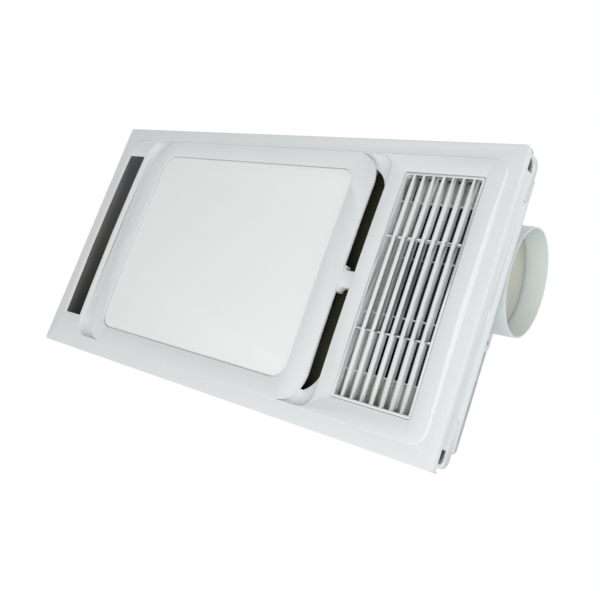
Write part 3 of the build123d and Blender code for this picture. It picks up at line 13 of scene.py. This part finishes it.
import bmesh
import bpy
import numpy as np
from mathutils import Matrix, Vector

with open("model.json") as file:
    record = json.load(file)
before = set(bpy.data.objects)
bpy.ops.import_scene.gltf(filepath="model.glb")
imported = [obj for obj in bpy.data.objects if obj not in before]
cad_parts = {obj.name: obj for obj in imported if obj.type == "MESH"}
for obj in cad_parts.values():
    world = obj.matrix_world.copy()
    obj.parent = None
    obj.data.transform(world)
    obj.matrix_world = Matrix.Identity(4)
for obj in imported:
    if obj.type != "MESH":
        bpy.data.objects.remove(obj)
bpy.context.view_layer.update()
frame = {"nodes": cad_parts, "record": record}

MM = 0.001
log = logging.getLogger("ceiling_heater")


def linear(colour: str) -> tuple[float, float, float, float]:
    """Turns an sRGB hex colour into linear light.

    Args:
        colour: Six hex digits after a hash sign.

    Returns:
        Red, green, blue and an alpha of 1.
    """
    raw = np.array([int(colour[i:i + 2], 16) for i in (1, 3, 5)]) / 255
    light = np.where(raw <= 0.04045, raw / 12.92, ((raw + 0.055) / 1.055) ** 2.4)
    return (*map(float, light), 1.0)


def add_node(tree: bpy.types.NodeTree, kind: str, settings: dict | None = None,
             links: dict | None = None) -> bpy.types.Node:
    """Adds one node to a shader tree.

    Args:
        tree: The tree that the node goes into.
        kind: Blender's name of the node type, without ShaderNode.
        settings: Socket names or numbers and attribute names, with their values.
        links: Input sockets by name or number, with the output sockets that feed them.

    Returns:
        The new node.
    """
    node = tree.nodes.new("ShaderNode" + kind)
    for key, value in (settings or {}).items():
        if isinstance(key, int) or key in node.inputs:
            node.inputs[key].default_value = value
        else:
            setattr(node, key, value)
    for key, source in (links or {}).items():
        tree.links.new(source, node.inputs[key])
    return node


class Grain(Enum):
    """How a surface's fine relief was made."""

    MOULDED = "spark-eroded mould texture"
    POLISHED = "polished mould"
    ROLLED = "rolled sheet"
    GROUND = "turned or ground"


# How often the relief repeats along X, Y and Z: drawn out along the rolling or along the axis
GRAIN_STRETCH = {Grain.MOULDED: (1.0, 1.0, 1.0), Grain.POLISHED: (1.0, 1.0, 1.0),
                 Grain.ROLLED: (1.0, 0.04, 1.0), Grain.GROUND: (1.0, 1.0, 0.05)}
GRAIN_STRENGTH = {Grain.MOULDED: 0.5, Grain.POLISHED: 0.1, Grain.ROLLED: 0.5, Grain.GROUND: 0.5}


@dataclass(frozen=True)
class Finish:
    """A real surface finish, from which a material is made once."""

    name: str
    colour: str
    roughness: float
    metallic: float = 0.0
    ior: float = 1.5
    specular: float = 0.5
    grain: Grain = Grain.MOULDED
    grain_mm: float = 0.6
    relief_mm: float = 0.004
    variation: float = 0.02
    gloss_drift: tuple[float, float] = (0.9, 1.1)
    drift_mm: float = 1000 / 18

    @cache
    def material(self) -> bpy.types.Material:
        """Makes the material once, however often it is asked for.

        Returns:
            A material with the finish's colour, its small variation and its relief.
        """
        made = bpy.data.materials.new(self.name)
        made.use_nodes = True
        tree = made.node_tree
        shader = tree.nodes["Principled BSDF"]
        shader.inputs["Base Color"].default_value = linear(self.colour)
        shader.inputs["Roughness"].default_value = self.roughness
        shader.inputs["Metallic"].default_value = self.metallic
        if not self.metallic:
            shader.inputs["IOR"].default_value = self.ior
        shader.inputs["Specular IOR Level"].default_value = self.specular
        place = add_node(tree, "TexCoord").outputs["Object"]
        self.paint(tree, shader, place)
        self.relief(tree, shader, place)
        return made

    def paint(self, tree: bpy.types.NodeTree, shader: bpy.types.Node,
              place: bpy.types.NodeSocket) -> None:
        """Lets the colour and the roughness drift a little over some centimetres.

        Args:
            tree: The material's node tree.
            shader: The surface shader.
            place: Object coordinates in metres.
        """
        cloud = add_node(tree, "TexNoise", {"Scale": 1 / (self.drift_mm * MM), "Detail": 3.0},
                         {"Vector": place})
        tone = add_node(tree, "MapRange", {3: 1 - self.variation, 4: 1 + self.variation},
                        {0: cloud.outputs[0]})
        self.shade(tree, shader, tone, cloud.outputs[0])

    def shade(self, tree: bpy.types.NodeTree, shader: bpy.types.Node, tone: bpy.types.Node,
              wear: bpy.types.NodeSocket) -> None:
        """Scales the colour by a tone and the roughness by a wear between the drift's two ends.

        Args:
            tree: The material's node tree.
            shader: The surface shader.
            tone: A node whose first output is close to 1.
            wear: A value from 0 to 1.
        """
        mixed = add_node(tree, "VectorMath", {"operation": "SCALE", 0: linear(self.colour)[:3]},
                         {"Scale": tone.outputs[0]})
        tree.links.new(mixed.outputs[0], shader.inputs["Base Color"])
        low, high = self.gloss_drift
        gloss = add_node(tree, "MapRange", {3: self.roughness * low, 4: self.roughness * high},
                         {0: wear})
        tree.links.new(gloss.outputs[0], shader.inputs["Roughness"])

    def relief(self, tree: bpy.types.NodeTree, shader: bpy.types.Node,
               place: bpy.types.NodeSocket) -> None:
        """Adds the fine relief that the maker's process leaves.

        Args:
            tree: The material's node tree.
            shader: The surface shader.
            place: Object coordinates in metres.
        """
        turned = add_node(tree, "Mapping", {"Scale": GRAIN_STRETCH[self.grain]}, {"Vector": place})
        bumps = add_node(tree, "TexNoise", {"Scale": 1 / (self.grain_mm * MM), "Detail": 2.0},
                         {"Vector": turned.outputs[0]})
        bump = add_node(tree, "Bump", {"Strength": GRAIN_STRENGTH[self.grain],
                                       "Distance": self.relief_mm * MM},
                        {"Height": bumps.outputs[0]})
        tree.links.new(bump.outputs[0], shader.inputs["Normal"])


@dataclass(frozen=True)
class Galvanised(Finish):
    """Hot-dip zinc on sheet steel: a dull grey metal with centimetre-wide crystals."""

    spangle_mm: float = 9.0
    spangle_tones: tuple[float, float] = (0.86, 1.08)
    gloss_drift: tuple[float, float] = (0.75, 1.2)

    def paint(self, tree: bpy.types.NodeTree, shader: bpy.types.Node,
              place: bpy.types.NodeSocket) -> None:
        """Gives each zinc crystal its own shade and gloss, as cells of a Voronoi pattern.

        Args:
            tree: The material's node tree.
            shader: The surface shader.
            place: Object coordinates in metres.
        """
        cells = add_node(tree, "TexVoronoi", {"Scale": 1 / (self.spangle_mm * MM), "Randomness": 1.0},
                         {"Vector": place})
        chance = add_node(tree, "SeparateColor", None, {0: cells.outputs["Color"]})
        dark, bright = self.spangle_tones
        tone = add_node(tree, "MapRange", {3: dark, 4: bright}, {0: chance.outputs[0]})
        self.shade(tree, shader, tone, chance.outputs[1])


@dataclass(frozen=True)
class SmokedLensPaintedReflection(Finish):
    """Smoked acrylic over a dark mask, with a painted reflection on it: bluish near one end, brownish
    mid-way, near black at last.
    """

    ends_m: tuple[float, float] = (-0.11, 0.11)
    # Painted reflection: bluish at one end, brownish mid-way, near black at the other
    reflection_tints: tuple[str, str, str] = ("#3c4144", "#393630", "#131514")

    def paint(self, tree: bpy.types.NodeTree, shader: bpy.types.Node,
              place: bpy.types.NodeSocket) -> None:
        """Runs the painted reflection along the strip as a three-stop ramp of the Y coordinate.

        Args:
            tree: The material's node tree.
            shader: The surface shader.
            place: Object coordinates in metres.
        """
        parts = add_node(tree, "SeparateXYZ", None, {0: place})
        along = add_node(tree, "MapRange", {1: self.ends_m[0], 2: self.ends_m[1]},
                         {0: parts.outputs[1]})
        # The ramp paints the reflection along the strip
        ramp = add_node(tree, "ValToRGB", None, {0: along.outputs[0]})
        ramp.color_ramp.elements.new(0.5)
        for stop, reflection_tint in zip(ramp.color_ramp.elements, self.reflection_tints):
            stop.color = linear(reflection_tint)
        tree.links.new(ramp.outputs[0], shader.inputs["Base Color"])


# White ABS from a spark-eroded mould: even, slightly cool white with a soft sheen
WHITE_ABS = Finish("white_abs", "#dbdedf", 0.5, specular=0.35, grain_mm=0.8)
# The collar's ABS: cooler than the panel, and painted a shade brighter as the light that falls on its
# side
COLLAR_ABS_PAINTED_LIGHT = Finish("collar_abs_painted_light", "#e8ecee", 0.5, specular=0.35, grain_mm=0.8)
# Opal acrylic sheet: milky and nearly matt, with no grain to see
OPAL = Finish("opal_sheet", "#eaebeb", 0.6, ior=1.49, specular=0.25, grain=Grain.POLISHED,
              variation=0.006)
# Smoked acrylic: dark and smooth, with a painted reflection that runs from end to end
SMOKED_LENS_PAINTED_REFLECTION = SmokedLensPaintedReflection("smoked_acrylic_painted_reflection", "#333638", 0.3, ior=1.49, specular=0.2, grain=Grain.POLISHED)
# Natural polypropylene: faintly greenish beige, a little waxy
BEIGE_PP = Finish("natural_polypropylene", "#c4c5b9", 0.5, specular=0.3, grain_mm=1.0)
# White polypropylene of the duct: cool, with a waxy sheen
DUCT_PP = Finish("white_polypropylene", "#dae1e0", 0.45, specular=0.35, grain_mm=1.0)
# Grey ABS of boxes and scroll: plain and matt
GREY_ABS = Finish("grey_abs", "#a5a8aa", 0.5, grain_mm=0.9)
# White polycarbonate inside the light: clean and even, to spread light
INNER_WHITE = Finish("white_polycarbonate", "#e2e2de", 0.5)
# Powder coat on sheet: fine orange peel
SHEET_WHITE = Finish("white_powder_coat", "#e4e4e0", 0.55, grain_mm=1.2, relief_mm=0.02)
# Solder mask on the LED boards: bright and smooth
BOARD_WHITE = Finish("white_solder_mask", "#ececea", 0.35)
# Solder mask on the control boards: deep glossy green
BOARD_GREEN = Finish("green_solder_mask", "#1f5a33", 0.3)
# Phosphor over the LED chips: egg yellow
PHOSPHOR = Finish("yellow_phosphor", "#eedd7a", 0.4)
# Closed-cell foam: dead black with a coarse skin
FOAM = Finish("closed_cell_foam", "#2a2a2a", 0.9, grain_mm=1.5, relief_mm=0.2)
# Nitrile rubber: dull black
RUBBER = Finish("nitrile_rubber", "#1c1c1c", 0.8)
# Galvanised sheet: grey spangle that catches the light crystal by crystal
ZINC_SHEET = Galvanised("galvanised_sheet", "#b4b8bb", 0.42, metallic=1.0, grain=Grain.ROLLED)
# Zinc plating on screws and cans: brighter and even
ZINC_PLATE = Finish("zinc_plating", "#b9bcc0", 0.3, metallic=1.0, grain=Grain.GROUND, grain_mm=0.4)
# Ground steel of shafts and pins: bright, with fine rings
BRIGHT_STEEL = Finish("ground_steel", "#c4c6c9", 0.2, metallic=1.0, grain=Grain.GROUND, grain_mm=0.3)
# Stacked core sheets: dark, with fine lines
CORE_STEEL = Finish("laminated_core", "#5a5c60", 0.55, metallic=0.8, grain=Grain.ROLLED, grain_mm=0.5)
# Enamelled winding wire: warm copper with strands
COPPER = Finish("enamelled_copper", "#b4622f", 0.35, metallic=0.9, grain=Grain.ROLLED, grain_mm=0.5,
                relief_mm=0.1)
# Mill aluminium of heater bars and fins: pale, with drawn lines
ALUMINIUM = Finish("mill_aluminium", "#c9cbce", 0.35, metallic=1.0, grain=Grain.ROLLED, grain_mm=0.4)
# Glass-filled black nylon: dull, with a rough skin
BLACK_NYLON = Finish("black_glass_nylon", "#1b1c1e", 0.55, grain_mm=0.5, relief_mm=0.02)
# Brown phenolic of the heater's frame: mottled brown
PHENOLIC = Finish("brown_phenolic", "#4a3425", 0.5, variation=0.08)
# Relay cases: clear blue plastic
RELAY_BLUE = Finish("relay_case", "#1c3f7c", 0.3)
# Shrink sleeve on capacitors: glossy blue-black
SLEEVE = Finish("shrink_sleeve", "#1d1f33", 0.25)
# Undyed nylon of sockets and terminals: ivory
NYLON = Finish("plain_nylon", "#e0dccd", 0.45)
# Heat-proof polyester roof in painted shade: a dark olive that stands in for the shade behind the
# slots
ROOF_PAINTED_SHADE = Finish("roof_painted_shade", "#4a4a38", 0.6, grain_mm=1.0)
# Blued spring steel: a dull mid grey
SPRING_STEEL = Finish("spring_steel", "#7c807c", 0.4, metallic=1.0, grain=Grain.ROLLED, grain_mm=0.4)

SLOT_FINISHES = {
    "white_moulding": WHITE_ABS, "opal_acrylic": OPAL, "white_inner_plastic": INNER_WHITE,
    "white_sheet": SHEET_WHITE, "white_board": BOARD_WHITE, "led_phosphor": PHOSPHOR,
    "tinted_lens": SMOKED_LENS_PAINTED_REFLECTION, "circuit_board": BOARD_GREEN, "dark_foam": FOAM, "dark_rubber": RUBBER,
    "frame_plastic": COLLAR_ABS_PAINTED_LIGHT, "zinc_sheet": ZINC_SHEET, "beige_plastic": BEIGE_PP,
    "bright_steel": BRIGHT_STEEL, "grey_plastic": GREY_ABS, "black_plastic": BLACK_NYLON,
    "motor_steel": ZINC_PLATE, "core_steel": CORE_STEEL, "copper_wire": COPPER,
    "heat_plastic": PHENOLIC, "bar_aluminium": ALUMINIUM, "relay_plastic": RELAY_BLUE,
    "capacitor_sleeve": SLEEVE, "natural_nylon": NYLON, "zinc_screw": ZINC_PLATE,
    "roof_plastic": ROOF_PAINTED_SHADE, "clip_steel": SPRING_STEEL,
}

# Pieces whose own moulding differs from the rest of their slot
PIECE_FINISHES = {"duct_spigot": DUCT_PP}


@dataclass
class PhotoCamera:
    """The camera of the photograph, fitted to the face panel's corners and edges."""

    place_mm: tuple[float, float, float] = (672.08, 150.27, -637.28)
    right: tuple[float, float, float] = (0.7498846, -0.3229853, 0.5773678)
    down: tuple[float, float, float] = (0.1135038, 0.9225963, 0.3686909)
    forward: tuple[float, float, float] = (-0.6517592, -0.2109422, 0.7285008)
    focal_px: float = 843.634
    centre_px: tuple[float, float] = (334.512, 245.954)
    image_px: float = 600.0
    sensor_mm: float = 36.0

    def build(self) -> bpy.types.Object:
        """Makes the camera and gives it to the scene.

        Returns:
            The camera object.
        """
        data = bpy.data.cameras.new("photo_camera")
        data.sensor_width = self.sensor_mm
        data.lens = self.sensor_mm * self.focal_px / self.image_px
        data.shift_x = (self.image_px / 2 - self.centre_px[0]) / self.image_px
        data.shift_y = (self.centre_px[1] - self.image_px / 2) / self.image_px
        data.clip_start = 0.01
        camera = bpy.data.objects.new("photo_camera", data)
        axes = Matrix((self.right, -Vector(self.down), -Vector(self.forward))).transposed().to_4x4()
        camera.matrix_world = Matrix.Translation(Vector(self.place_mm) * MM) @ axes
        bpy.context.scene.collection.objects.link(camera)
        bpy.context.scene.camera = camera
        return camera


@dataclass(frozen=True)
class Lamp:
    """One square lamp. Its place, its target and its side are in metres, its power in watts."""

    name: str
    place: tuple[float, float, float]
    target: tuple[float, float, float]
    side: float
    watts: float

    def build(self) -> None:
        """Hangs the lamp and points it at its target."""
        data = bpy.data.lights.new(self.name, "AREA")
        data.energy = self.watts
        data.size = self.side
        lamp = bpy.data.objects.new(self.name, data)
        lamp.location = self.place
        beam = Vector(self.target) - Vector(self.place)
        lamp.rotation_euler = beam.to_track_quat("-Z", "Y").to_euler()
        bpy.context.scene.collection.objects.link(lamp)


@dataclass
class Studio:
    """Pale floor, white surroundings and soft lamps. Lengths are in metres."""

    world_light: float = 0.6
    shown_light: float = 1.0
    floor_z: float = -2.6
    floor_half: float = 6.0
    floor_colour: str = "#f4f4f4"
    floor_roughness: float = 0.9
    # The key lamp shades the face from its far corner to the near one; the side lamp lights the
    # skirt and the inside of the duct
    lamps: tuple[Lamp, ...] = (
        Lamp("key_lamp", (0.95, 0.85, -1.2), (0.0, 0.0, 0.0), 1.4, 18.5),
        Lamp("side_lamp", (2.0, -1.2, -0.15), (0.3, 0.0, 0.0), 1.0, 9.5),
    )

    def build(self) -> None:
        """Makes the world, the floor and the lamps.

        The world lights the object less than it shows to camera, mirror and see-through rays.
        """
        world = bpy.data.worlds.new("studio")
        bpy.context.scene.world = world
        world.use_nodes = True
        tree = world.node_tree
        rays = add_node(tree, "LightPath")
        seen = add_node(tree, "Math", {"operation": "MAXIMUM"},
                        {0: rays.outputs["Is Camera Ray"], 1: rays.outputs["Is Glossy Ray"]})
        shown = add_node(tree, "Math", {"operation": "MAXIMUM"},
                         {0: seen.outputs[0], 1: rays.outputs["Is Transmission Ray"]})
        strength = add_node(tree, "MapRange", {3: self.world_light, 4: self.shown_light},
                            {0: shown.outputs[0]})
        tree.links.new(strength.outputs[0], tree.nodes["Background"].inputs["Strength"])
        tree.nodes["Background"].inputs["Color"].default_value = (1, 1, 1, 1)
        self.build_floor()
        for lamp in self.lamps:
            lamp.build()

    def build_floor(self) -> None:
        """Lays the plain pale floor below the object."""
        half = self.floor_half
        mesh = bpy.data.meshes.new("floor")
        corners = [(-half, -half, self.floor_z), (half, -half, self.floor_z),
                   (half, half, self.floor_z), (-half, half, self.floor_z)]
        mesh.from_pydata(corners, [], [(0, 1, 2, 3)])
        floor = bpy.data.objects.new("floor", mesh)
        bpy.context.scene.collection.objects.link(floor)
        paint = bpy.data.materials.new("floor_paint")
        paint.use_nodes = True
        shader = paint.node_tree.nodes["Principled BSDF"]
        shader.inputs["Base Color"].default_value = linear(self.floor_colour)
        shader.inputs["Roughness"].default_value = self.floor_roughness
        mesh.materials.append(paint)


@dataclass(frozen=True)
class TroughBrow:
    """The soft brow along the outer edge of the left trough, cut from the face panel's look.

    Its section is an arc that leaves the crowned face level and meets the trough's own rounding
    without a crease: two circles that touch have their middles the sum of their radii apart.
    Lengths are in millimetres.
    """

    name: str = "trough_brow"
    node: str = "face_panel"
    radius: float = 6.0
    end_radius: float = 1.5
    wall_x: float = -239.0
    trough_round: float = 8.0
    trough_floor: float = -12.0
    corner_x: float = -221.0
    corner_y: float = 115.0
    corner_radius: float = 18.0
    edge_z: float = -18.8
    crown_rise: float = 2.8
    half_width: float = 134.5
    straight_steps: int = 24
    corner_steps: int = 20
    arc_steps: int = 12
    arc_start: float = 0.06
    clear: float = 1.0

    def path(self) -> np.ndarray:
        """Follows the trough's outer edge round both corners.

        Returns:
            One row per section: x, y, outward x, outward y and the brow's radius there.
        """
        turn = np.linspace(0.0, 1.0, self.corner_steps + 1)[1:]
        angle = turn * np.pi / 2
        fade = turn ** 2 * (3 - 2 * turn)
        bend = self.radius + (self.end_radius - self.radius) * fade
        along = np.linspace(-self.corner_y, self.corner_y, self.straight_steps + 1)
        flat = np.stack([np.full_like(along, self.wall_x), along, np.full_like(along, -1.0),
                         np.zeros_like(along), np.full_like(along, self.radius)], 1)
        high = np.stack([self.corner_x - self.corner_radius * np.cos(angle),
                         self.corner_y + self.corner_radius * np.sin(angle),
                         -np.cos(angle), np.sin(angle), bend], 1)
        low = high[::-1] * np.array([1, -1, 1, -1, 1])
        return np.concatenate([low, flat, high])

    def section(self, face_z: float, radius: float) -> np.ndarray:
        """Draws the tool's outline at one place.

        Args:
            face_z: Height of the crowned face there.
            radius: The brow's radius there.

        Returns:
            Outward distance from the trough's wall and height, point by point.
        """
        hollow = np.array([-self.trough_round, self.trough_floor - self.trough_round])
        middle_z = face_z + radius
        apart = self.trough_round + radius
        middle = np.array([hollow[0] + np.sqrt(apart ** 2 - (middle_z - hollow[1]) ** 2), middle_z])
        end = np.arctan2(middle[0] - hollow[0], middle_z - hollow[1])
        angle = np.linspace(self.arc_start, end, self.arc_steps)
        arc = np.stack([middle[0] - radius * np.sin(angle), middle[1] - radius * np.cos(angle)], 1)
        inner = arc[-1] + np.array([-self.clear, 0.0])
        outer_z = face_z - self.clear
        return np.concatenate([arc, [inner, [inner[0], outer_z], [arc[0, 0], outer_z]]])

    def tool(self) -> bpy.types.Object:
        """Makes the cutting tool as a closed bar along the path.

        Returns:
            The tool, which no camera or body sees.
        """
        rings = []
        for x, y, out_x, out_y, radius in self.path():
            # The face is crowned as a parabola across the panel
            face_z = self.edge_z - self.crown_rise * (1 - (y / self.half_width) ** 2)
            shape = self.section(face_z, radius)
            rings.append(np.stack([x + shape[:, 0] * out_x, y + shape[:, 0] * out_y, shape[:, 1]], 1))
        points = np.concatenate(rings) * MM
        count, size = len(rings), len(rings[0])
        faces = [[i * size + j, i * size + (j + 1) % size, (i + 1) * size + (j + 1) % size,
                  (i + 1) * size + j] for i in range(count - 1) for j in range(size)]
        faces.append(list(range(size))[::-1])
        faces.append([(count - 1) * size + j for j in range(size)])
        mesh = bpy.data.meshes.new(self.name + "_tool")
        mesh.from_pydata(points.tolist(), [], faces)
        draft = bmesh.new()
        draft.from_mesh(mesh)
        bmesh.ops.recalc_face_normals(draft, faces=draft.faces)
        draft.to_mesh(mesh)
        draft.free()
        return bpy.data.objects.new(self.name + "_tool", mesh)

    def apply(self, node: bpy.types.Object) -> None:
        """Cuts the brow with a live modifier.

        Args:
            node: The face panel. Its mesh stays as packed.
        """
        cut = node.modifiers.new(self.name, "BOOLEAN")
        cut.object = self.tool()
        cut.operation = "DIFFERENCE"
        cut.solver = "EXACT"


@dataclass
class CadDressing:
    """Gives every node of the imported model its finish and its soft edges.

    The turned nodes keep the smooth normals they came with. Lengths are in millimetres, angles in
    degrees.
    """

    edge_mm: float = 0.3
    edge_steps: int = 2
    edge_angle: float = 30.0
    flat_angle: float = 1.0
    join_mm: float = 0.001
    turned: tuple[str, ...] = ("duct_spigot",)
    cuts: tuple[TroughBrow, ...] = (TroughBrow(),)

    def build(self) -> None:
        """Dresses all the nodes."""
        slots = {row["node"]: row["material_slot"] for row in frame["record"]["subparts"]}
        for name, node in frame["nodes"].items():
            finish = PIECE_FINISHES.get(name, SLOT_FINISHES[slots[name]])
            node.data.materials.clear()
            node.data.materials.append(finish.material())
            if name not in self.turned:
                self.soften(node)
            log.info("dressed %s in %s", name, finish.name)

    def soften(self, node: bpy.types.Object) -> None:
        """Rounds the hard edges a little, as moulding and folding leave them.

        Args:
            node: The node whose modifiers are added. Its mesh stays as packed.
        """
        weld = node.modifiers.new("join_corners", "WELD")
        weld.merge_threshold = self.join_mm * MM
        flat = node.modifiers.new("join_flat_faces", "DECIMATE")
        flat.decimate_type = "DISSOLVE"
        flat.angle_limit = np.radians(self.flat_angle)
        for cut in self.cuts:
            if cut.node == node.name:
                cut.apply(node)
        bevel = node.modifiers.new("soft_edges", "BEVEL")
        bevel.width = self.edge_mm * MM
        bevel.segments = self.edge_steps
        bevel.limit_method = "ANGLE"
        bevel.angle_limit = np.radians(self.edge_angle)
        bevel.harden_normals = True
        node.data.shade_smooth()


def main() -> None:
    """Builds the scene in order."""
    logging.basicConfig(level=logging.INFO, format="%(message)s")
    bpy.context.scene.view_settings.view_transform = "Standard"
    PhotoCamera().build()
    Studio().build()
    CadDressing().build()


if __name__ == "__main__":
    main()
